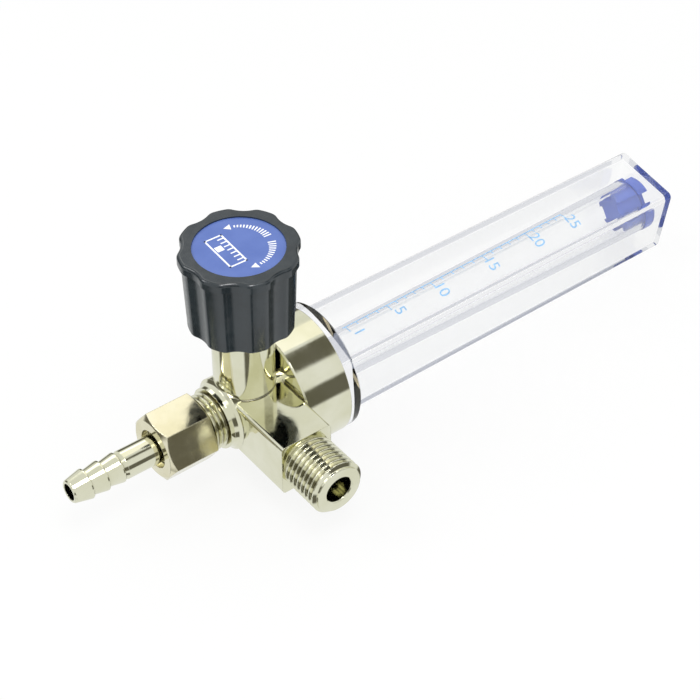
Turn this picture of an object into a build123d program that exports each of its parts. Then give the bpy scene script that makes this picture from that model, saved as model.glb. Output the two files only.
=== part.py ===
"""Gas regulator of the flowmeter kind: a brass needle-valve body with a rotameter tube.

The sight tube lies along +X, the hose nipple points along -X, the inlet thread points
along -Y and the valve stem points up, along +Z. The three axes meet at the valve centre.
The origin is on the inlet axis, at the inlet thread's gauge plane.
Lengths are in millimetres. Stations along X and Z are counted from the valve centre.
"""

from build123d import *
from math import cos, pi, radians, sin, tan
import os

os.makedirs("parts", exist_ok=True)

# ---- frame ----
valve_y = 28.6  # inlet gauge plane to the valve centre
centre = Vector(0, valve_y, 0)
tube_axis = Axis(centre, (1, 0, 0))
stem_axis = Axis(centre, (0, 0, 1))
section = Plane(origin=centre, x_dir=(1, 0, 0), z_dir=(0, -1, 0))  # local x = X, local y = Z

# ---- clearances ----
slip = 0.05  # radial gap of a thread, a spigot or a sliding part
split = 0.02  # gap left between pressed or seated neighbours

# ---- threads ----
flank = radians(27.5)  # half of the thread's 55 degree form
gas_pitch = 1.337
gas_crest = 6.55

# ---- valve body ----
arm_half_width = 6.6
arm_half_height = 6.75
arm_round = 1.0
arm_front = -22.9  # the arm's end face, from the valve centre along Y
arm_rear = 5.2
inlet_tip = -34.6
inlet_bore_radius = 3.25
inlet_bore_depth = 14.0
passage_radius = 1.8
passage_end = 1.2  # just past the orifice, along Y
post_radius = 7.0
post_top = 26.0
groove_depth = 0.2  # turned groove at the foot of the post
groove_width = 0.25
boss_radius = 7.35
boss_start = -9.0
shoulder_radius = 8.6
outlet_tip = -20.0
outlet_crest = 6.3
rib_crest = 6.65  # the coarser ribs between the boss and the coupling nut
rib_pitch = 1.2
rib_end = -12.7
outlet_bore_radius = 3.0
outlet_bore_depth = 11.5
feed_radius = 0.9  # drilling from the valve chamber to the sight tube
return_radius = 1.1  # drilling from the cup to the outlet
collar_radius = 15.5
collar_back = 6.5
collar_front = 18.0
collar_edge = 0.35
cup_radius = 13.0
cup_floor = 10.0
socket_radius = 5.1
socket_floor = 8.0
socket_boss_radius = 8.2
socket_boss_front = 15.0
seal_pocket_radius = 6.65
seal_pocket_floor = 12.6

# ---- needle valve ----
seat_height = 2.6
orifice_radius = 1.0
chamber_radius = 3.4
stem_thread_radius = 4.0
stem_shank_radius = 3.0
stem_top = 40.9
stem_flat = 2.4  # distance of the flat from the stem's axis
stem_flat_length = 7.8
thread_bottom = 7.0
thread_top = 14.5
ring_groove = 16.2
packing_floor = 21.0
packing_radius = 5.0
gland_seat = 24.6

# ---- knob ----
knob_bottom = 24.8
knob_top = 44.9
rim_height = 2.3
rim_round = 0.8
lobe_count = 8
lobe_radius = 13.3
skirt_radius_top = 12.55
skirt_radius_bottom = 11.9
flute_size = 0.5  # radius of a flute, as a share of the lobes' radius
flute_distance = 1.43  # distance of a flute's centre, as a share of the lobes' radius
lobe_round = 0.2  # rounding of a lobe's shoulders, as a share of the lobes' radius
flute_turn = 5.8  # angle of the first flute from +X
label_radius = 10.0
label_thickness = 0.5

# ---- sight tube ----
tube_start = 9.0
tube_end = 115.6
tube_radius_start = 4.95
tube_radius_end = 6.2
bore_radius_start = 3.52
bore_radius_end = 4.9
ball_radius = 3.5
ball_rest = 15.6
stop_depth = 5.6  # how far the far stop reaches into the tube
stop_end = 118.7

# ---- sight cover ----
flange_radius = 15.3
flange_front = 21.1
cover_half_start = 9.6
cover_half_end = 9.1
cover_end = 120.4
cover_wall = 1.45
cover_corner = 1.3
cover_turn = 8.5  # where the cover's thread pulls up tight
spigot_end = 11.6
spigot_bore_radius = 10.6

# ---- coupling nut and hose nipple ----
nut_flats = 14.4
nut_outer_face = -24.8
nut_inner_face = -12.9
nut_lip = 1.7
nut_hole_radius = 4.6
washer_thickness = 1.2
nipple_flange_end = -23.0
nipple_tip = -46.3
nipple_flange_radius = 6.1
nipple_bore_radius = 2.0
tail_radius = 3.37
barb_radius = 3.55
barb_neck_radius = 2.9
barb_land = 0.3
barb_run = 3.7  # length of a barb's slope
barbs = (-42.3, -38.3, -34.3)  # where each barb is widest


def across(station, turn=0.0):
    """Plane square to the tube's axis, facing +X, with local x along +Y and local y along +Z."""
    facing = (0, cos(radians(turn)), sin(radians(turn)))
    return Plane(origin=centre + Vector(station, 0, 0), x_dir=facing, z_dir=(1, 0, 0))


def level(height):
    """Plane square to the stem's axis, facing +Z."""
    return Plane(origin=centre + Vector(0, 0, height), x_dir=(1, 0, 0), z_dir=(0, 0, 1))


def outline(*points):
    """Face with a closed outline of straight runs, in the current sketch."""
    Polygon(*points, align=None)


def thread_points(start, end, crest, pitch, depth):
    """Points of a thread's outline from start to end, as rings of flat-topped V form."""
    rise = depth * tan(flank)
    flat = (pitch - 2 * rise) / 2
    step = pitch if end > start else -pitch
    side = step / pitch
    points = []
    for turn in range(int(abs(end - start) / pitch)):
        foot = start + turn * step
        points += [
            (foot + side * flat / 2, crest - depth),
            (foot + side * (flat / 2 + rise), crest),
            (foot + side * (1.5 * flat + rise), crest),
            (foot + side * (1.5 * flat + 2 * rise), crest - depth),
        ]
    return points


def ring(part_name, along_tube, start, end, inner, outer, soften=0.0):
    """A turned ring or washer on the tube's or the stem's axis."""
    with BuildPart() as made:
        with BuildSketch(section):
            if along_tube:
                outline((start, inner), (end, inner), (end, outer), (start, outer))
            else:
                outline((inner, start), (inner, end), (outer, end), (outer, start))
        revolve(axis=tube_axis if along_tube else stem_axis)
        if soften:
            fillet(made.edges().filter_by(GeomType.CIRCLE), soften)
    made.part.label = part_name
    return made


def seal(part_name, along_tube, station, mean_radius, section_radius):
    """A rubber O-ring round the tube's or the stem's axis."""
    with BuildPart() as made:
        with BuildSketch(section):
            with Locations((station, mean_radius) if along_tube else (mean_radius, station)):
                Circle(section_radius)
        revolve(axis=tube_axis if along_tube else stem_axis)
    made.part.label = part_name
    return made


# ---------------- valve body ----------------
gas_depth = 0.64 * gas_pitch
tip_chamfer = 0.9
relief = 1.1  # plain neck between a thread and its shoulder
inlet_section = Plane(origin=centre, x_dir=(0, 1, 0), z_dir=(1, 0, 0))  # local x = Y, local y = Z
inlet_axis = Axis(centre, (0, 1, 0))

with BuildPart() as valve_body:
    # square inlet arm, carried through to a short rear end
    with BuildSketch(Plane(origin=centre + Vector(0, arm_front, 0), x_dir=(1, 0, 0), z_dir=(0, -1, 0))):
        RectangleRounded(2 * arm_half_width, 2 * arm_half_height, arm_round)
    extrude(amount=-(arm_rear - arm_front))
    # round barrel that carries the collar, drawn in to the outlet boss
    with BuildSketch(section):
        outline(
            (collar_back + 0.5, 0),
            (collar_back + 0.5, shoulder_radius),
            (-arm_half_width, shoulder_radius),
            (-arm_half_width - 0.6, boss_radius + 0.5),
            (-arm_half_width - 1.5, boss_radius + 0.1),
            (boss_start, boss_radius),
            (boss_start, 0),
        )
    revolve(axis=tube_axis)
    # ribs, then the outlet thread
    with BuildSketch(section):
        root = outlet_crest - gas_depth
        outline(
            (0, 0),
            (0, root),
            (boss_start, rib_crest - 0.64 * rib_pitch),
            *thread_points(boss_start - 0.1, rib_end, rib_crest, rib_pitch, 0.64 * rib_pitch),
            (rib_end - 0.1, root),
            *thread_points(rib_end - 0.1, outlet_tip, outlet_crest, gas_pitch, gas_depth),
            (outlet_tip, root - 0.2),
            (outlet_tip, 0),
        )
    revolve(axis=tube_axis)
    # inlet thread
    with BuildSketch(inlet_section):
        root = gas_crest - gas_depth
        outline(
            (0, 0),
            (0, root),
            (arm_front - relief / 2, root),
            *thread_points(arm_front - relief / 2, inlet_tip, gas_crest, gas_pitch, gas_depth),
            (inlet_tip + 0.1, root),
            (inlet_tip, root - 0.1),
            (inlet_tip, 0),
        )
    revolve(axis=inlet_axis)
    with BuildSketch(inlet_section):
        outline(
            (inlet_tip - 1, gas_crest - tip_chamfer - 1),
            (inlet_tip + tip_chamfer + 1, gas_crest + 1),
            (inlet_tip - 1, gas_crest + 1),
        )
    revolve(axis=inlet_axis, mode=Mode.SUBTRACT)
    # collar that carries the sight cover
    with BuildSketch(section):
        outline(
            (collar_back, 0),
            (collar_back, collar_radius - collar_edge),
            (collar_back + collar_edge, collar_radius),
            (collar_front, collar_radius),
            (collar_front, 0),
        )
    revolve(axis=tube_axis)
    # upright post for the valve stem
    with BuildSketch(level(0)):
        Circle(post_radius)
    extrude(amount=post_top)
    with BuildSketch(section):
        groove_foot = arm_half_height + 0.1
        outline(
            (post_radius - groove_depth, groove_foot),
            (post_radius + split, groove_foot),
            (post_radius + split, groove_foot + groove_width),
            (post_radius - groove_depth, groove_foot + groove_width),
        )
    revolve(axis=stem_axis, mode=Mode.SUBTRACT)
    # cup, socket boss and socket for the sight tube
    with BuildSketch(section):
        outline(
            (cup_floor, socket_boss_radius),
            (cup_floor, cup_radius),
            (collar_front + 1, cup_radius),
            (collar_front + 1, 0),
            (socket_floor, 0),
            (socket_floor, socket_radius),
            (seal_pocket_floor, socket_radius),
            (seal_pocket_floor, seal_pocket_radius),
            (socket_boss_front, seal_pocket_radius),
            (socket_boss_front, socket_boss_radius),
        )
    revolve(axis=tube_axis, mode=Mode.SUBTRACT)
    # stem bore, valve chamber and orifice
    with BuildSketch(section):
        outline(
            (0, 0),
            (orifice_radius, 0),
            (orifice_radius, seat_height),
            (chamber_radius, seat_height + 1.2),
            (chamber_radius, thread_bottom - 0.6),
            (stem_thread_radius + slip, thread_bottom),
            (stem_thread_radius + slip, packing_floor),
            (packing_radius, packing_floor),
            (packing_radius, post_top + 1),
            (0, post_top + 1),
        )
    revolve(axis=stem_axis, mode=Mode.SUBTRACT)
    # inlet bore and the passage below the orifice
    with BuildSketch(inlet_section):
        outline(
            (inlet_tip - 1, 0),
            (inlet_tip - 1, inlet_bore_radius + 1.2),
            (inlet_tip + 0.2, inlet_bore_radius),
            (inlet_tip + inlet_bore_depth, inlet_bore_radius),
            (inlet_tip + inlet_bore_depth + 1.2, passage_radius),
            (passage_end, passage_radius),
            (passage_end + 1.2, 0),
        )
    revolve(axis=inlet_axis, mode=Mode.SUBTRACT)
    # slanted drilling from the valve chamber to the tube's socket
    feed_start = centre + Vector(1.5, 0, seat_height + 3.0)
    feed_end = centre + Vector(socket_floor + 1.0, 0, seat_height)
    with BuildSketch(Plane(origin=feed_start, z_dir=feed_end - feed_start)):
        Circle(feed_radius)
    extrude(amount=(feed_end - feed_start).length, mode=Mode.SUBTRACT)
    # outlet bore and the slanted drilling that brings the gas back from the cup
    with BuildSketch(across(outlet_tip)):
        Circle(outlet_bore_radius)
    extrude(amount=outlet_bore_depth, mode=Mode.SUBTRACT)
    return_start = centre + Vector(boss_start - 0.5, 0.6, 0)
    return_end = centre + Vector(cup_floor + 0.5, (socket_boss_radius + cup_radius) / 2, 0)
    with BuildSketch(Plane(origin=return_start, z_dir=return_end - return_start)):
        Circle(return_radius)
    extrude(amount=(return_end - return_start).length, mode=Mode.SUBTRACT)
valve_body.part.label = "valve_body"
export_step(valve_body.part, "parts/valve_body.step")

# ---------------- needle stem ----------------
needle_tip = seat_height - 1.1
with BuildPart() as needle_stem:
    with BuildSketch(section):
        outline(
            (0, needle_tip),
            (0.25, needle_tip),
            (orifice_radius - split, seat_height - split),
            (2.2, seat_height + 2.2),
            (2.2, thread_bottom - 0.4),
            (stem_thread_radius, thread_bottom + 0.4),
            (stem_thread_radius, thread_top),
            (stem_shank_radius, thread_top),
            (stem_shank_radius, ring_groove - 0.7),
            (stem_shank_radius - 0.3, ring_groove - 0.7),
            (stem_shank_radius - 0.3, ring_groove + 0.7),
            (stem_shank_radius, ring_groove + 0.7),
            (stem_shank_radius, stem_top - 0.4),
            (stem_shank_radius - 0.4, stem_top),
            (0, stem_top),
        )
    revolve(axis=stem_axis)
    # flat that keeps the knob's insert from slipping round
    with BuildSketch(level(stem_top)):
        with Locations((stem_flat + 2, 0)):
            Rectangle(4, 8)
    extrude(amount=-stem_flat_length, mode=Mode.SUBTRACT)
    # tapped hole for the knob's screw
    with BuildSketch(level(stem_top)):
        Circle(1.25)
    extrude(amount=-7, mode=Mode.SUBTRACT)
needle_stem.part.label = "needle_stem"
export_step(needle_stem.part, "parts/needle_stem.step")

stem_ring_section = 0.62
stem_o_ring = seal(
    "stem_o_ring",
    False,
    ring_groove,
    stem_shank_radius - 0.3 + split + stem_ring_section,
    stem_ring_section,
)
export_step(stem_o_ring.part, "parts/stem_o_ring.step")

# ---------------- packing and gland ----------------
stem_packing = ring(
    "stem_packing",
    False,
    packing_floor + split,
    packing_floor + 2.5,
    stem_shank_radius + slip,
    packing_radius - split,
)
export_step(stem_packing.part, "parts/stem_packing.step")

packing_washer = ring(
    "packing_washer",
    False,
    packing_floor + 2.5 + split,
    gland_seat - split,
    stem_shank_radius + slip,
    packing_radius - split,
)
export_step(packing_washer.part, "parts/packing_washer.step")

gland_flats = 12.0
with BuildPart() as gland_nut:
    with BuildSketch(level(gland_seat)):
        Circle(packing_radius - split)
    extrude(amount=post_top + split - gland_seat)
    with BuildSketch(level(post_top + split)):
        RegularPolygon(gland_flats / 2, 6, major_radius=False)
    extrude(amount=4.0)
    chamfer(gland_nut.edges().group_by(Axis.Z)[-1], 0.5)
    with BuildSketch(level(gland_seat)):
        Circle(stem_shank_radius + slip)
    extrude(amount=10, mode=Mode.SUBTRACT)
gland_nut.part.label = "gland_nut"
export_step(gland_nut.part, "parts/gland_nut.step")

# ---------------- knob ----------------
web_bottom = 32.5
insert_radius = 5.0
insert_top = 41.0
recess_floor = knob_top - label_thickness - 0.35
screw_floor = 41.6


def lobes(radius):
    """Round face with a shallow flute between each pair of lobes, in the current sketch."""
    Circle(radius)
    with PolarLocations(flute_distance * radius, lobe_count, start_angle=flute_turn):
        Circle(flute_size * radius, mode=Mode.SUBTRACT)


with BuildPart() as knob:
    # lobed skirt, drawn in towards the bottom
    with BuildSketch(level(knob_bottom)) as foot_face:
        lobes(skirt_radius_bottom)
        fillet(foot_face.vertices(), lobe_round * skirt_radius_bottom)
    with BuildSketch(level(knob_top - rim_height + 0.3)) as neck_face:
        lobes(skirt_radius_top)
        fillet(neck_face.vertices(), lobe_round * skirt_radius_top)
    loft()
    fillet(knob.edges().group_by(Axis.Z)[0], 0.45)
    # lobed rim at the top, which stands out over the skirt
    with BuildSketch(level(knob_top - rim_height)) as rim_face:
        lobes(lobe_radius)
        fillet(rim_face.vertices(), lobe_round * lobe_radius)
    extrude(amount=rim_height)
    fillet(knob.edges().group_by(Axis.Z)[-1], rim_round)
    # hollow that clears the post and the gland nut
    with BuildSketch(section):
        outline(
            (0, knob_bottom - 1),
            (9.4, knob_bottom - 1),
            (9.4, web_bottom - 3),
            (7.8, web_bottom),
            (insert_radius, web_bottom),
            (insert_radius, insert_top),
            (2.0, insert_top),
            (2.0, screw_floor),
            (3.6, screw_floor),
            (3.6, recess_floor),
            (label_radius + split, recess_floor),
            (label_radius + split, knob_top + 1),
            (0, knob_top + 1),
        )
    revolve(axis=stem_axis, mode=Mode.SUBTRACT)
knob.part.label = "knob"
export_step(knob.part, "parts/knob.step")

with BuildPart() as knob_insert:
    with BuildSketch(level(web_bottom)):
        Circle(insert_radius - split)
        Circle(stem_shank_radius + split, mode=Mode.SUBTRACT)
    extrude(amount=insert_top - split - web_bottom)
    # two grooves that key the insert into the knob's moulding
    with BuildSketch(section):
        for groove in (web_bottom + 2.4, web_bottom + 5.4):
            with Locations((insert_radius, groove)):
                Rectangle(0.8, 1.0)
    revolve(axis=stem_axis, mode=Mode.SUBTRACT)
    # land that meets the stem's flat
    with BuildSketch(level(stem_top - stem_flat_length + split)):
        Circle(insert_radius - 1)
        with Locations((stem_flat + split + 3, 0)):
            Rectangle(6, 8, mode=Mode.INTERSECT)
    extrude(amount=stem_flat_length - split)
knob_insert.part.label = "knob_insert"
export_step(knob_insert.part, "parts/knob_insert.step")

with BuildPart() as knob_screw:
    with BuildSketch(section):
        outline(
            (0, stem_top - 6),
            (1.2, stem_top - 6),
            (1.2, screw_floor + split),
            (3.3, screw_floor + split),
            (3.3, screw_floor + 1.0),
            (2.2, screw_floor + 1.9),
            (0, screw_floor + 1.9),
        )
    revolve(axis=stem_axis)
    # cross recess
    with BuildSketch(level(screw_floor + 2)):
        Rectangle(2.8, 0.6)
        Rectangle(0.6, 2.8)
    extrude(amount=-1.1, mode=Mode.SUBTRACT)
knob_screw.part.label = "knob_screw"
export_step(knob_screw.part, "parts/knob_screw.step")

with BuildPart() as knob_label:
    with BuildSketch(level(recess_floor + split)):
        Circle(label_radius)
    extrude(amount=label_thickness)
knob_label.part.label = "knob_label"
export_step(knob_label.part, "parts/knob_label.step")

# ---------------- metering tube, its seal, its stops and the ball ----------------
stop_seat = ball_rest - ball_radius
stop_wall = 0.7
arm_length = bore_radius_start - stop_wall / 2 + 0.3


def bore_radius(station):
    """Radius of the metering tube's tapered bore."""
    share = (station - tube_start) / (tube_end - tube_start)
    return bore_radius_start + share * (bore_radius_end - bore_radius_start)


with BuildPart() as metering_tube:
    with BuildSketch(section):
        outline(
            (tube_start, bore_radius_start),
            (tube_end, bore_radius_end),
            (tube_end, tube_radius_end),
            (tube_start, tube_radius_start),
        )
    revolve(axis=tube_axis)
    chamfer(metering_tube.edges().filter_by(GeomType.CIRCLE).group_by(Axis.X)[-1], 0.25)
metering_tube.part.label = "metering_tube"
export_step(metering_tube.part, "parts/metering_tube.step")

seal_section = 0.8
tube_radius_at_seal = tube_radius_start + 0.05
tube_seal = seal(
    "tube_seal",
    True,
    seal_pocket_floor + seal_section + split,
    tube_radius_at_seal + split + seal_section,
    seal_section - 0.01,
)
export_step(tube_seal.part, "parts/tube_seal.step")

tube_gland = ring(
    "tube_gland",
    True,
    seal_pocket_floor + 2 * seal_section + 2 * split,
    socket_boss_front + 1.2,
    tube_radius_at_seal + 0.12,
    seal_pocket_radius - split,
)
export_step(tube_gland.part, "parts/tube_gland.step")

with BuildPart() as lower_stop:
    # three-armed rest for the ball, in a ring with the bore's taper, which leaves the gas its way past
    stop_foot = tube_start + 0.4
    stop_head = stop_seat - split
    with BuildSketch(section):
        outline(
            (stop_foot, bore_radius_start - stop_wall),
            (stop_head, bore_radius_start - stop_wall),
            (stop_head, bore_radius(stop_head) - split),
            (stop_foot, bore_radius(stop_foot) - split),
        )
    revolve(axis=tube_axis)
    with BuildSketch(across(stop_foot)):
        for arm in range(3):
            with Locations(Rotation(0, 0, 120 * arm)):
                with Locations((arm_length / 2 - 0.3, 0)):
                    Rectangle(arm_length, 0.9)
    extrude(amount=stop_head - stop_foot)
lower_stop.part.label = "lower_stop"
export_step(lower_stop.part, "parts/lower_stop.step")

with BuildPart() as float_ball:
    with Locations(centre + Vector(ball_rest, 0, 0)):
        Sphere(ball_radius)
float_ball.part.label = "float_ball"
export_step(float_ball.part, "parts/float_ball.step")

notch_width = 3.8
notch_floor = 2.9
stop_start = tube_end - stop_depth
with BuildPart() as float_stop:
    with BuildSketch(across(stop_start, cover_turn)):
        Circle(bore_radius_end - 0.12)
    extrude(amount=stop_depth + 0.2)
    with BuildSketch(across(tube_end + split, cover_turn)):
        Circle(tube_radius_end + 0.1)
    extrude(amount=stop_end - tube_end - split)
    chamfer(float_stop.edges().group_by(Axis.X)[-1], 0.5)
    chamfer(float_stop.edges().group_by(Axis.X)[0], 0.4)
    # four flutes that let the gas out of the tube
    with BuildSketch(across(stop_start - 1, cover_turn)):
        with PolarLocations(notch_floor + 4, 4, start_angle=45):
            Rectangle(8, notch_width)
    extrude(amount=stop_end - stop_start + 2, mode=Mode.SUBTRACT)
float_stop.part.label = "float_stop"
export_step(float_stop.part, "parts/float_stop.step")

# ---------------- sight cover ----------------
with BuildPart() as sight_cover:
    # square moulding, drawn in slightly towards its closed end
    with BuildSketch(across(flange_front - 0.5, cover_turn)):
        RectangleRounded(2 * cover_half_start, 2 * cover_half_start, cover_corner)
    with BuildSketch(across(cover_end, cover_turn)):
        RectangleRounded(2 * cover_half_end, 2 * cover_half_end, cover_corner)
    loft()
    fillet(sight_cover.edges().group_by(Axis.X)[-1], 0.5)
    # flange and the threaded spigot inside the collar
    with BuildSketch(section):
        outline(
            (spigot_end, 0),
            (spigot_end, cup_radius - slip),
            (collar_front + split, cup_radius - slip),
            (collar_front + split, flange_radius),
            (flange_front - 0.5, flange_radius),
            (flange_front, flange_radius - 0.5),
            (flange_front, 0),
        )
    revolve(axis=tube_axis)
    # round bore through the spigot, square cavity beyond it
    with BuildSketch(across(spigot_end - 1)):
        Circle(spigot_bore_radius)
    extrude(amount=collar_front + 0.6 - spigot_end + 1, mode=Mode.SUBTRACT)
    with BuildSketch(across(collar_front - 1, cover_turn)):
        inner_start = 2 * (cover_half_start - cover_wall)
        RectangleRounded(inner_start, inner_start, cover_corner - 0.8)
    with BuildSketch(across(cover_end - cover_wall, cover_turn)):
        inner_end = 2 * (cover_half_end - cover_wall)
        RectangleRounded(inner_end, inner_end, cover_corner - 0.8)
    loft(mode=Mode.SUBTRACT)
sight_cover.part.label = "sight_cover"
export_step(sight_cover.part, "parts/sight_cover.step")

cover_seal_section = (spigot_end - cup_floor) / 2
cover_seal = seal(
    "cover_seal",
    True,
    cup_floor + cover_seal_section,
    (cup_radius + spigot_bore_radius) / 2,
    cover_seal_section - 0.01,
)
export_step(cover_seal.part, "parts/cover_seal.step")

# ---------------- coupling nut ----------------
nut_corner_radius = nut_flats / 2 / cos(pi / 6)
nut_turn = 6.2  # angle of one hexagon corner from +Y
with BuildPart() as coupling_nut:
    with BuildSketch(across(nut_outer_face, nut_turn)):
        RegularPolygon(nut_flats / 2, 6, major_radius=False)
    extrude(amount=nut_inner_face - nut_outer_face)
    # turned chamfers on both ends of the hexagon
    with BuildSketch(section):
        outline(
            (nut_outer_face, 0),
            (nut_outer_face, nut_corner_radius - 1.5),
            (nut_outer_face + 0.95, nut_corner_radius + 0.02),
            (nut_inner_face - 0.3, nut_corner_radius + 0.02),
            (nut_inner_face, nut_corner_radius - 0.5),
            (nut_inner_face, 0),
        )
    revolve(axis=tube_axis, mode=Mode.INTERSECT)
    # hole for the nipple's tail and the threaded inside
    with BuildSketch(section):
        outline(
            (nut_outer_face - 1, 0),
            (nut_outer_face - 1, nut_hole_radius),
            (nut_outer_face + nut_lip, nut_hole_radius),
            (nut_outer_face + nut_lip, outlet_crest + slip),
            (nut_inner_face + 1, outlet_crest + slip),
            (nut_inner_face + 1, 0),
        )
    revolve(axis=tube_axis, mode=Mode.SUBTRACT)
coupling_nut.part.label = "coupling_nut"
export_step(coupling_nut.part, "parts/coupling_nut.step")

# ---------------- hose nipple and its washer ----------------
washer_end = outlet_tip - washer_thickness
with BuildPart() as hose_nipple:
    with BuildSketch(section):
        points = [(washer_end - split, 0), (washer_end - split, nipple_flange_radius)]
        points += [(nipple_flange_end, nipple_flange_radius), (nipple_flange_end, tail_radius)]
        points += [(barbs[-1] + 1.4, tail_radius), (barbs[-1] + barb_land, barb_neck_radius)]
        for widest in reversed(barbs):
            points += [(widest + barb_land, barb_radius), (widest, barb_radius)]
            if widest > barbs[0]:
                points += [(widest - barb_run, barb_neck_radius)]
        points += [(nipple_tip + 0.3, 2.75), (nipple_tip, 2.5), (nipple_tip, 0)]
        outline(*points)
    revolve(axis=tube_axis)
    with BuildSketch(across(nipple_tip - 1)):
        Circle(nipple_bore_radius)
    extrude(amount=washer_end - nipple_tip + 2, mode=Mode.SUBTRACT)
hose_nipple.part.label = "hose_nipple"
export_step(hose_nipple.part, "parts/hose_nipple.step")

nipple_washer = ring(
    "nipple_washer",
    True,
    washer_end,
    outlet_tip - split,
    3.1,
    6.0,
)
export_step(nipple_washer.part, "parts/nipple_washer.step")
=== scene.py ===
import math

import bpy
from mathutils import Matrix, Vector


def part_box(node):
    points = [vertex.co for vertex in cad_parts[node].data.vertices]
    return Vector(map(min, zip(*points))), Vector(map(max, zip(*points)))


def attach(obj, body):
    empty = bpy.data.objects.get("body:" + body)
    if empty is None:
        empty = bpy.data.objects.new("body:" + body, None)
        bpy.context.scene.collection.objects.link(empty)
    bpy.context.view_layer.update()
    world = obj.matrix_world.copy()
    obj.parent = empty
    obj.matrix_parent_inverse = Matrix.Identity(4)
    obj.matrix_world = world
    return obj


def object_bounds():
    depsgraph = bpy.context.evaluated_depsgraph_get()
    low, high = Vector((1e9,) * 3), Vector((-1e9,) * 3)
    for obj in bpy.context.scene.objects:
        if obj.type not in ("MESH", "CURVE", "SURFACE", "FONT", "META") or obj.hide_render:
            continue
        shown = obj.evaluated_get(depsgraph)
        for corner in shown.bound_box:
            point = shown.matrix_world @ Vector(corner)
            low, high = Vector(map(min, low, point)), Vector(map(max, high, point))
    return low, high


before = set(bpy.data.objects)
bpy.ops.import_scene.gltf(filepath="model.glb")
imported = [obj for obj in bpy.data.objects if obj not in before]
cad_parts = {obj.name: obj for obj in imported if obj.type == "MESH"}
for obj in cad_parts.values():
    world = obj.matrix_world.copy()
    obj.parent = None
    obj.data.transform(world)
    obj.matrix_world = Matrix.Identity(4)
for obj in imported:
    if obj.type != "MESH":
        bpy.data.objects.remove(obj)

# Looks of the gas regulator. Every length is in metres, in the CAD frame: the sight tube
# points along +X, the hose nipple along -X, the inlet thread along -Y and the knob up.

MM = 0.001
cad_low, cad_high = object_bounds()
label_low, label_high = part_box("knob_label")
valve = Vector(((label_low.x + label_high.x) / 2, (label_low.y + label_high.y) / 2, 0))

camera_azimuth = -37.44  # degrees
plain_white = (1.0, 1.0, 1.0)

bpy.context.scene.view_settings.view_transform = "Standard"


def linked(name, data):
    """A new object in the scene."""
    made = bpy.data.objects.new(name, data)
    bpy.context.scene.collection.objects.link(made)
    return made


def meshed(name, points, faces, finish):
    """A new object in the scene from points and faces, with one material."""
    mesh = bpy.data.meshes.new(name)
    mesh.from_pydata(points, [], faces)
    mesh.materials.append(finish)
    return linked(name, mesh)


# ---------------- camera ----------------
def direction(azimuth, elevation):
    """Unit vector towards an azimuth and elevation in degrees. Azimuth 0 is -Y and 90 is +X."""
    a, e = math.radians(azimuth), math.radians(elevation)
    return Vector((math.sin(a) * math.cos(e), -math.cos(a) * math.cos(e), math.sin(e)))


def add_camera():
    elevation, distance = 42.21, 0.4806
    aim_right, aim_up = 0.0233, 0.0115
    away = direction(camera_azimuth, elevation)
    right = Vector((math.cos(math.radians(camera_azimuth)), math.sin(math.radians(camera_azimuth)), 0))
    aim = valve + aim_right * right + aim_up * away.cross(right)
    data = bpy.data.cameras.new("camera")
    data.lens, data.sensor_width = 110.6, 36.0
    data.clip_start, data.clip_end = 0.01, 50.0
    camera = linked("camera", data)
    camera.location = aim + distance * away
    camera.rotation_mode = "QUATERNION"
    camera.rotation_quaternion = (-away).to_track_quat("-Z", "Y")
    bpy.context.scene.camera = camera


add_camera()


# ---------------- node helpers ----------------
class Nodes:
    """Short calls for the nodes that the materials and the world share."""

    def __init__(self, tree):
        self.tree = tree
        tree.nodes.clear()

    def add(self, kind, **sockets):
        made = self.tree.nodes.new(kind)
        for name, value in sockets.items():
            self.put(made.inputs[name.replace("_", " ")], value)
        return made

    def put(self, socket, value):
        if isinstance(value, bpy.types.NodeSocket):
            self.tree.links.new(value, socket)
        else:
            socket.default_value = value

    def math(self, operation, *values):
        made = self.tree.nodes.new("ShaderNodeMath")
        made.operation = operation
        for socket, value in zip(made.inputs, values):
            self.put(socket, value)
        return made.outputs[0]

    def ramp(self, value, low, high, to_low=0.0, to_high=1.0):
        """A smooth step from to_low, where value is low, to to_high, where it is high."""
        made = self.tree.nodes.new("ShaderNodeMapRange")
        made.interpolation_type = "SMOOTHSTEP"
        for name, number in zip(
            ("Value", "From Min", "From Max", "To Min", "To Max"), (value, low, high, to_low, to_high)
        ):
            self.put(made.inputs[name], number)
        return made.outputs[0]

    def band(self, value, low, high, soft):
        """1 between low and high, and 0 outside, with soft edges."""
        rise = self.ramp(value, low - soft, low + soft)
        fall = self.ramp(value, high - soft, high + soft, 1.0, 0.0)
        return self.math("MULTIPLY", rise, fall)

    def bands(self, value, *ranges):
        """1 in any of the ranges, each given as low, high and soft edge."""
        total = self.band(value, *ranges[0])
        for one in ranges[1:]:
            total = self.math("ADD", total, self.band(value, *one))
        return total

    def mix(self, share, first, second):
        made = self.tree.nodes.new("ShaderNodeMix")
        made.data_type = "RGBA"
        for socket, value in zip((made.inputs[0], made.inputs[6], made.inputs[7]), (share, first, second)):
            if isinstance(value, tuple) and len(value) == 3:
                value = (*value, 1.0)
            self.put(socket, value)
        return made.outputs[2]

    def mix_shaders(self, share, first, second):
        made = self.tree.nodes.new("ShaderNodeMixShader")
        for socket, value in zip(made.inputs, (share, first, second)):
            self.put(socket, value)
        return made.outputs[0]

    def noise(self, where, scale, detail=2.0, roughness=0.5):
        made = self.add("ShaderNodeTexNoise", Vector=where, Scale=scale, Detail=detail, Roughness=roughness)
        return made.outputs[0]

    def bump(self, height, distance, strength=1.0, normal=None):
        made = self.add("ShaderNodeBump", Height=height, Distance=distance, Strength=strength)
        if normal is not None:
            self.put(made.inputs["Normal"], normal)
        return made.outputs[0]


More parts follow.
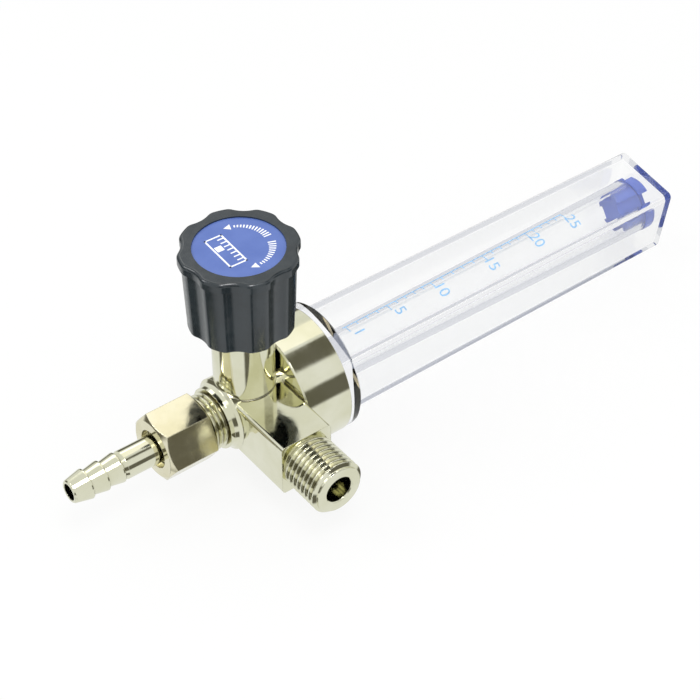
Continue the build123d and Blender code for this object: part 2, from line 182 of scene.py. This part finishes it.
# ---------------- studio ----------------
def add_world():
    """A light tent with dark gaps, placed for the streaks that polished surfaces mirror.

    Only mirrored rays that haven't been through clear plastic see it. To all others, the world is plain white.
    """
    world = bpy.data.worlds.new("studio")
    bpy.context.scene.world = world
    world.use_nodes = True
    n = Nodes(world.node_tree)
    parts = n.add("ShaderNodeSeparateXYZ", Vector=n.add("ShaderNodeTexCoord").outputs["Generated"]).outputs
    azimuth = n.math("DEGREES", n.math("ARCTAN2", parts["X"], n.math("MULTIPLY", parts["Y"], -1.0)))
    height = n.math("DEGREES", n.math("ARCSINE", parts["Z"]))
    tent = (0.82, 0.83, 0.82)
    panel = (1.15, 1.13, 1.05)
    lamp = (1.9, 1.9, 1.85)
    dark = (0.13, 0.125, 0.10)

    # bands of azimuth and height, in degrees
    breaks = n.bands(azimuth, (-98.0, -58.0, 4.0), (-16.0, 8.0, 4.0), (52.0, 98.0, 4.0))
    breaks = n.math("ADD", breaks, n.band(n.math("ABSOLUTE", azimuth), 170.0, 190.0, 3.0))
    horizon = n.math("MULTIPLY", n.band(height, -13.0, 16.0, 3.0), n.math("SUBTRACT", 1.0, breaks))
    colour = n.mix(horizon, tent, dark)
    for around, up, shade in (
        ((38.0, 86.0, 4.0), (44.0, 66.0, 3.0), dark),
        ((96.0, 165.0, 1.5), (47.0, 75.0, 2.0), panel),
        ((-70.0, 10.0, 8.0), (58.0, 80.0, 5.0), lamp),
        ((152.0, 176.0, 3.0), (30.0, 60.0, 3.0), lamp),
    ):
        colour = n.mix(n.math("MULTIPLY", n.band(azimuth, *around), n.band(height, *up)), colour, shade)
    gaps = n.bands(azimuth, (-131.0, -90.0, 5.0), (-32.0, -8.0, 4.0), (62.0, 120.0, 6.0))
    colour = n.mix(n.math("MULTIPLY", gaps, n.band(height, -54.0, -32.0, 3.0)), colour, dark)

    path = n.add("ShaderNodeLightPath").outputs
    mirrored = n.math("MULTIPLY", path["Is Glossy Ray"], n.math("LESS_THAN", path["Transmission Depth"], 0.5))
    colour = n.mix(mirrored, plain_white, colour)
    shader = n.add("ShaderNodeBackground", Color=colour, Strength=1.0).outputs[0]
    n.add("ShaderNodeOutputWorld", Surface=shader)


def add_light(name, azimuth, elevation, distance, size, power):
    data = bpy.data.lights.new(name, "AREA")
    data.shape = "DISK"
    data.size = size
    data.energy = power
    lamp = linked(name, data)
    away = direction(azimuth, elevation)
    lamp.location = valve + distance * away
    lamp.rotation_mode = "QUATERNION"
    lamp.rotation_quaternion = away.to_track_quat("Z", "Y")


def add_floor():
    radius, count, gap = 0.26, 96, 0.02 * MM
    middle = (cad_low + cad_high) / 2
    turns = [math.tau * i / count for i in range(count)]
    points = [
        (middle.x + radius * math.cos(a), middle.y + radius * math.sin(a), cad_low.z - gap) for a in turns
    ]
    floor = meshed("floor", points, [list(range(count))], material("floor_paper", paper))
    floor.visible_glossy = False  # mirroring surfaces see the tent's lower half in its place


# ---------------- materials ----------------
def material(name, build, **values):
    made = bpy.data.materials.new(name)
    made.use_nodes = True
    n = Nodes(made.node_tree)
    n.add("ShaderNodeOutputMaterial", Surface=build(n, **values))
    return made


def place(n):
    """The point's place on the object, in metres. It moves with the part."""
    return n.add("ShaderNodeTexCoord").outputs["Object"]


def paper(n):
    """Plain paper. The camera, and rays that came through clear plastic, see it glow and fade to white."""
    glow = 0.85
    tone = n.noise(place(n), 9.0)
    colour = n.mix(tone, (0.78, 0.79, 0.78), (0.82, 0.82, 0.81))
    matt = n.add("ShaderNodeBsdfPrincipled", Base_Color=colour, Roughness=0.9).outputs[0]
    bright = n.add("ShaderNodeEmission", Color=(*plain_white, 1.0), Strength=1.0).outputs[0]
    path = n.add("ShaderNodeLightPath").outputs
    seen = n.math("MAXIMUM", path["Is Camera Ray"], n.math("GREATER_THAN", path["Transmission Depth"], 0.5))
    return n.mix_shaders(n.math("MULTIPLY", seen, glow), matt, bright)


def plated(n, pale, deep, rough, wave, edge=0.0, pits=0.0):
    """Bright metal: small changes of tone and gloss, and the faint waviness of a cast skin.

    With edge, it also has softened edges and painted shade in its crevices, where an ambient-occlusion mask
    darkens the colour, and with pits, fine dents.
    """
    spot = place(n)
    tone = n.ramp(n.noise(spot, 110.0, 3.0), 0.3, 0.7)
    colour = n.mix(tone, pale, deep)
    if edge:
        # painted shade: the ambient-occlusion mask darkens the colour in crevices and thread roots, where
        # shade falls
        painted_crevice_shade = (0.20, 0.17, 0.10)
        crevice = n.add("ShaderNodeAmbientOcclusion", Distance=0.7 * MM)
        crevice.samples = 4
        colour = n.mix(n.ramp(crevice.outputs["AO"], 0.35, 0.85, 0.65, 0.0), colour, painted_crevice_shade)
    gloss = n.ramp(n.noise(spot, 420.0, 4.0), 0.3, 0.75, rough, rough * 2.2)
    soft = n.add("ShaderNodeBevel", Radius=edge).outputs[0] if edge else None
    swell = n.bump(n.noise(spot, 45.0, 1.0), wave * 5.0, 1.0, soft)
    skin = n.bump(n.noise(spot, 330.0, 2.0), wave * 0.5, 1.0, swell)
    normal = n.bump(n.noise(spot, 2600.0, 2.0), wave * 0.08, 1.0, skin)
    if pits:
        normal = n.bump(n.ramp(n.noise(spot, 3100.0, 3.0), 0.25, 0.45), pits, 1.0, normal)
    return n.add(
        "ShaderNodeBsdfPrincipled", Base_Color=colour, Metallic=1.0, Roughness=gloss, Normal=normal
    ).outputs[0]


def moulded(n, pale, deep, rough, grain, specular=0.5):
    """Moulded plastic or rubber: a fine grain, and soft changes of tone and gloss."""
    spot = place(n)
    tone = n.ramp(n.noise(spot, 160.0, 3.0), 0.3, 0.7)
    colour = n.mix(tone, deep, pale)
    gloss = n.ramp(n.noise(spot, 700.0, 3.0), 0.3, 0.7, rough, rough + 0.12)
    normal = n.bump(n.noise(spot, 5200.0, 2.0), grain)
    shader = n.add("ShaderNodeBsdfPrincipled", Base_Color=colour, Roughness=gloss, Normal=normal)
    shader.inputs["Specular IOR Level"].default_value = specular
    return shader.outputs[0]


def clear(n, tint, edge, rough, ior, wave):
    """Clear moulded plastic, with pale edges in place of the black ones that glass shows here.

    Shadow rays go straight through. So do rays that graze it, were mirrored or have bounced often, and take on
    a pale grey tint: painted shade that stands in for the edge lines refraction draws in clear plastic.
    """
    spot = place(n)
    gloss = n.ramp(n.noise(spot, 60.0, 3.0), 0.5, 0.9, rough, rough + 0.02)
    normal = n.bump(n.noise(spot, 45.0, 2.0), wave)
    colour = n.mix(n.noise(spot, 20.0), tint, plain_white)
    glass = n.add(
        "ShaderNodeBsdfPrincipled", Base_Color=colour, Roughness=gloss, Normal=normal,
        Transmission_Weight=1.0, IOR=ior,
    ).outputs[0]
    path = n.add("ShaderNodeLightPath").outputs
    was_mirrored = n.math("GREATER_THAN", path["Glossy Depth"], 0.5)
    bounced_often = n.math("GREATER_THAN", path["Ray Depth"], 9.5)
    slant = n.add("ShaderNodeLayerWeight", Blend=0.5, Normal=normal).outputs["Facing"]
    grazing = n.ramp(slant, 0.72, 0.94, 0.0, 0.85)
    passing = n.math("MAXIMUM", n.math("MAXIMUM", was_mirrored, bounced_often), grazing)
    # painted shade: rays that graze, were mirrored or bounced often pass through with the pale grey edge tint
    through = n.add("ShaderNodeBsdfTransparent", Color=n.mix(passing, tint, edge)).outputs[0]
    return n.mix_shaders(n.math("MAXIMUM", path["Is Shadow Ray"], passing), glass, through)


def dyed(n, tint, rough, ior):
    """Dyed clear plastic, with small changes of tone."""
    spot = place(n)
    colour = n.mix(n.noise(spot, 300.0), tint, tuple(min(1.0, c * 1.25) for c in tint))
    gloss = n.ramp(n.noise(spot, 500.0), 0.3, 0.7, rough, rough + 0.08)
    return n.add(
        "ShaderNodeBsdfPrincipled", Base_Color=colour, Roughness=gloss, Transmission_Weight=0.55, IOR=ior
    ).outputs[0]


def ink(n, pale, deep):
    """Thin screen-printed ink with slightly uneven cover."""
    colour = n.mix(n.ramp(n.noise(place(n), 1800.0, 3.0), 0.35, 0.7), pale, deep)
    return n.add("ShaderNodeBsdfPrincipled", Base_Color=colour, Roughness=0.5).outputs[0]


finishes = {
    "brass": material(
        "plated_brass", plated, pale=(0.86, 0.85, 0.69), deep=(0.78, 0.77, 0.58), rough=0.05, wave=0.02 * MM,
        edge=0.18 * MM,
    ),
    "turned_brass": material(
        "turned_brass", plated, pale=(0.86, 0.72, 0.38), deep=(0.78, 0.62, 0.30), rough=0.12, wave=0.01 * MM
    ),
    "knob_plastic": material(
        "knob_plastic", moulded, pale=(0.012, 0.020, 0.026), deep=(0.008, 0.014, 0.019), rough=0.13,
        grain=0.008 * MM, specular=0.8,
    ),
    "label_blue": material(
        "label_blue", moulded, pale=(0.10, 0.165, 0.46), deep=(0.08, 0.14, 0.42), rough=0.28, grain=0.005 * MM
    ),
    "clear_cover": material(
        "cover_acrylic", clear, tint=(0.99, 0.993, 0.993), edge=(0.89, 0.895, 0.91), rough=0.0,
        ior=1.47, wave=0.01 * MM,
    ),
    "clear_tube": material(
        "tube_acrylic", clear, tint=(0.99, 0.993, 0.993), edge=(0.85, 0.86, 0.885), rough=0.0,
        ior=1.47, wave=0.003 * MM,
    ),
    "stop_blue": material("stop_plastic", dyed, tint=(0.12, 0.19, 0.60), rough=0.12, ior=1.45),
    "ball_steel": material(
        "ball_steel", plated, pale=(0.78, 0.79, 0.80), deep=(0.70, 0.71, 0.73), rough=0.05, wave=0.002 * MM
    ),
    "screw_steel": material(
        "screw_steel", plated, pale=(0.62, 0.62, 0.63), deep=(0.52, 0.52, 0.54), rough=0.2, wave=0.01 * MM
    ),
    "seal_rubber": material(
        "seal_rubber", moulded, pale=(0.03, 0.03, 0.03), deep=(0.018, 0.018, 0.018), rough=0.6, grain=0.02 * MM
    ),
    "packing_white": material(
        "packing_white", moulded, pale=(0.85, 0.85, 0.82), deep=(0.78, 0.78, 0.74), rough=0.45, grain=0.01 * MM
    ),
}
nut_brass = material(
    "nut_brass", plated, pale=(0.90, 0.86, 0.67), deep=(0.80, 0.75, 0.52), rough=0.08, wave=0.02 * MM,
    edge=0.3 * MM, pits=0.0012 * MM,
)
pale_rubber = material(
    "pale_rubber", moulded, pale=(0.74, 0.75, 0.77), deep=(0.66, 0.67, 0.70), rough=0.45, grain=0.01 * MM
)
own_finishes = {"coupling_nut": nut_brass, "cover_seal": pale_rubber}


def finish_nodes():
    """Gives each CAD node its own finish or the one of its slot."""
    for name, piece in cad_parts.items():
        for held in piece.material_slots:
            slot_name = held.material.name.split(".")[0]
            if slot_name not in finishes:
                raise ValueError(f"{name} has no finish: {held.material.name}")
            held.material = own_finishes.get(name, finishes[slot_name])


finish_nodes()
add_world()
add_floor()
add_light("key", -20.0, 68.0, 0.9, 0.35, 2.0)
add_light("fill", -120.0, 45.0, 0.9, 0.35, 1.0)


# ---------------- printed scale ----------------
def tube_radius(x):
    """Outside radius of the sight tube at x, between its two ends."""
    (x0, r0), (x1, r1) = tube_rings
    if x0 <= x <= x1:
        return r0 + (r1 - r0) * (x - x0) / (x1 - x0)
    return r1


def outside_rings():
    """(x, radius) of the tube's two outer ends, from its CAD mesh."""
    least_near, least_far = 4.8 * MM, 6.0 * MM  # smaller radii are the bore's or the chamfer's
    far = {}
    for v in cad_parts["metering_tube"].data.vertices:
        key = round(v.co.x, 5)
        far[key] = max(far.get(key, 0.0), math.hypot(v.co.y - valve.y, v.co.z - valve.z))
    keys = sorted(far)
    first = max(keys[: len(keys) // 2], key=lambda k: (far[k] > least_near, -k))
    last = max(keys[len(keys) // 2 :], key=lambda k: (far[k] > least_far, k))
    return [(first, far[first]), (last, far[last])]


tube_rings = outside_rings()
print_lift = 0.03 * MM  # of printed marks off the tube


def wrapped(name, outlines, finish):
    """A printed mark on the tube: faces given as (x, angle in degrees from the top, towards -Y)."""
    points, faces = [], []
    for corners in outlines:
        faces.append(list(range(len(points), len(points) + len(corners))))
        for x, turn in corners:
            r = tube_radius(x) + print_lift
            a = math.radians(turn)
            points.append((x, valve.y - r * math.sin(a), valve.z + r * math.cos(a)))
    piece = meshed(name, points, faces, finish)
    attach(piece, "body")


scale_ink = material("scale_ink", ink, pale=(0.17, 0.42, 0.72), deep=(0.22, 0.50, 0.80))
label_ink = material("label_ink", ink, pale=(0.92, 0.93, 0.95), deep=(0.80, 0.83, 0.90))


def strip(x0, x1, t0, t1, steps=1):
    """Quads that cover a patch of the tube from x0 to x1 and from angle t0 to t1."""
    cuts = [t0 + (t1 - t0) * i / steps for i in range(steps + 1)]
    return [[(x0, a), (x1, a), (x1, b), (x0, b)] for a, b in zip(cuts, cuts[1:])]


def text_faces(text, height, centre_x, centre_turn):
    """The faces of a number, with its top towards +X, wrapped on the tube."""
    figure_share = 0.72  # of a figure's height in the font's size
    curve = bpy.data.curves.new("number", "FONT")
    curve.body = text
    curve.size = height / figure_share
    curve.align_x, curve.align_y = "CENTER", "CENTER"
    curve.resolution_u = 4
    carrier = linked("number", curve)
    flat = bpy.data.meshes.new_from_object(carrier.evaluated_get(bpy.context.evaluated_depsgraph_get()))
    r = tube_radius(centre_x)
    faces = [
        [
            (centre_x + flat.vertices[i].co.y, centre_turn + math.degrees(flat.vertices[i].co.x / r))
            for i in face.vertices
        ]
        for face in flat.polygons
    ]
    bpy.data.objects.remove(carrier)
    bpy.data.curves.remove(curve)
    bpy.data.meshes.remove(flat)
    return faces


# each reading, with the stations of its tick and its number along X, in mm
readings = (
    (1, 28.9, 30.6), (5, 40.9, 42.5), (10, 53.9, 54.8), (15, 69.65, 69.9), (20, 82.96, 84.0), (25, 94.55, 95.3)
)
rule_turn = -16.4  # degrees from the top of the tube, towards -Y
number_turn = 19.0
rule_half, tick_half = 0.17 * MM, 0.12 * MM
long_tick, short_tick = 24.0, 13.0  # degrees round the tube
number_height = 2.9 * MM
overrun = 0.7 * MM  # of the rule, before its first tick


def add_scale():
    stations = [(value, x * MM) for value, x, _ in readings]
    first, last = stations[0][1], stations[-1][1]
    line_turn = math.degrees(rule_half / tube_radius(first))
    marks = strip(first - overrun, last + tick_half, rule_turn - line_turn, rule_turn + line_turn)
    ticks = [(last, long_tick)]
    for (low_value, x0), (high_value, x1) in zip(stations, stations[1:]):
        for step in range(high_value - low_value):
            x = x0 + (x1 - x0) * step / (high_value - low_value)
            ticks.append((x, long_tick if step == 0 else short_tick))
    for x, reach in ticks:
        marks += strip(x - tick_half, x + tick_half, rule_turn, rule_turn + reach, steps=6)
    wrapped("scale_rule", marks, scale_ink)
    numbers = []
    for value, _, x in readings:
        numbers += text_faces(str(value), number_height, x * MM, number_turn)
    wrapped("scale_numbers", numbers, scale_ink)


add_scale()


# ---------------- knob label ----------------
def add_label_marks():
    """Plain marks in place of lettering: a ring of ticks between two arrows, and the sign of a tube gauge."""
    faces = []
    top = label_high.z + 0.02 * MM
    ring, spoke_width = 7.1 * MM, 0.34 * MM
    arrow_half, arrow_reach = 0.9 * MM, 13.0  # the reach is in degrees

    def polar(radius, angle):
        """A point of the label's plane; angle 0 points to the right of the camera's view."""
        a = math.radians(angle + camera_azimuth)
        return radius * math.cos(a), radius * math.sin(a)

    def spoke(angle, length):
        spread = math.degrees(spoke_width / 2 / ring)
        faces.append([
            polar(ring - length / 2, angle - spread), polar(ring + length / 2, angle - spread),
            polar(ring + length / 2, angle + spread), polar(ring - length / 2, angle + spread),
        ])

    def arrow(angle, lean):
        """A triangle on the ring that points round it."""
        tip = polar(ring, angle + lean * arrow_reach)
        faces.append([polar(ring - arrow_half, angle), polar(ring + arrow_half, angle), tip])

    for count, angle, sweep, length, growth in ((13, 100.0, -66.0, 0.7, 1.1), (12, 15.0, -62.0, 1.8, -1.1)):
        for i in range(count):
            share = i / (count - 1)
            spoke(angle + sweep * share, (length + growth * share) * MM)
    arrow(107.0, 1)
    arrow(-54.0, -1)

    along = Vector(polar(1.0, -55.0))
    across = Vector((-along.y, along.x))
    right, up = Vector(polar(1.0, 0.0)), Vector(polar(1.0, 90.0))
    centre = -2.7 * MM * right - 1.2 * MM * up

    def patch(u, v, length, width):
        """A rectangle at (u, v) of the gauge sign, length along it and width across, all in mm."""
        middle = centre + u * MM * along + v * MM * across
        half_u, half_v = length / 2 * MM * along, width / 2 * MM * across
        corners = (-half_u - half_v, half_u - half_v, half_u + half_v, half_v - half_u)
        faces.append([tuple(middle + c) for c in corners])

    line = 0.4
    for side in (1.0, -1.0):
        patch(0.0, 2.0 * side, 10.0 + line, line)
    for end in (-1.0, 1.0):
        patch(5.0 * end, 0.0, line, 4.0 + line)
    for i in range(7):
        patch(-3.9 + 1.3 * i, 1.1, 0.35, 1.4)
    patch(-1.3, -0.75, 1.7, 1.7)

    points, polygons = [], []
    for corners in faces:
        polygons.append(list(range(len(points), len(points) + len(corners))))
        points += [(valve.x + x, valve.y + y, top) for x, y in corners]
    piece = meshed("label_marks", points, polygons, label_ink)
    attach(piece, "control")


add_label_marks()
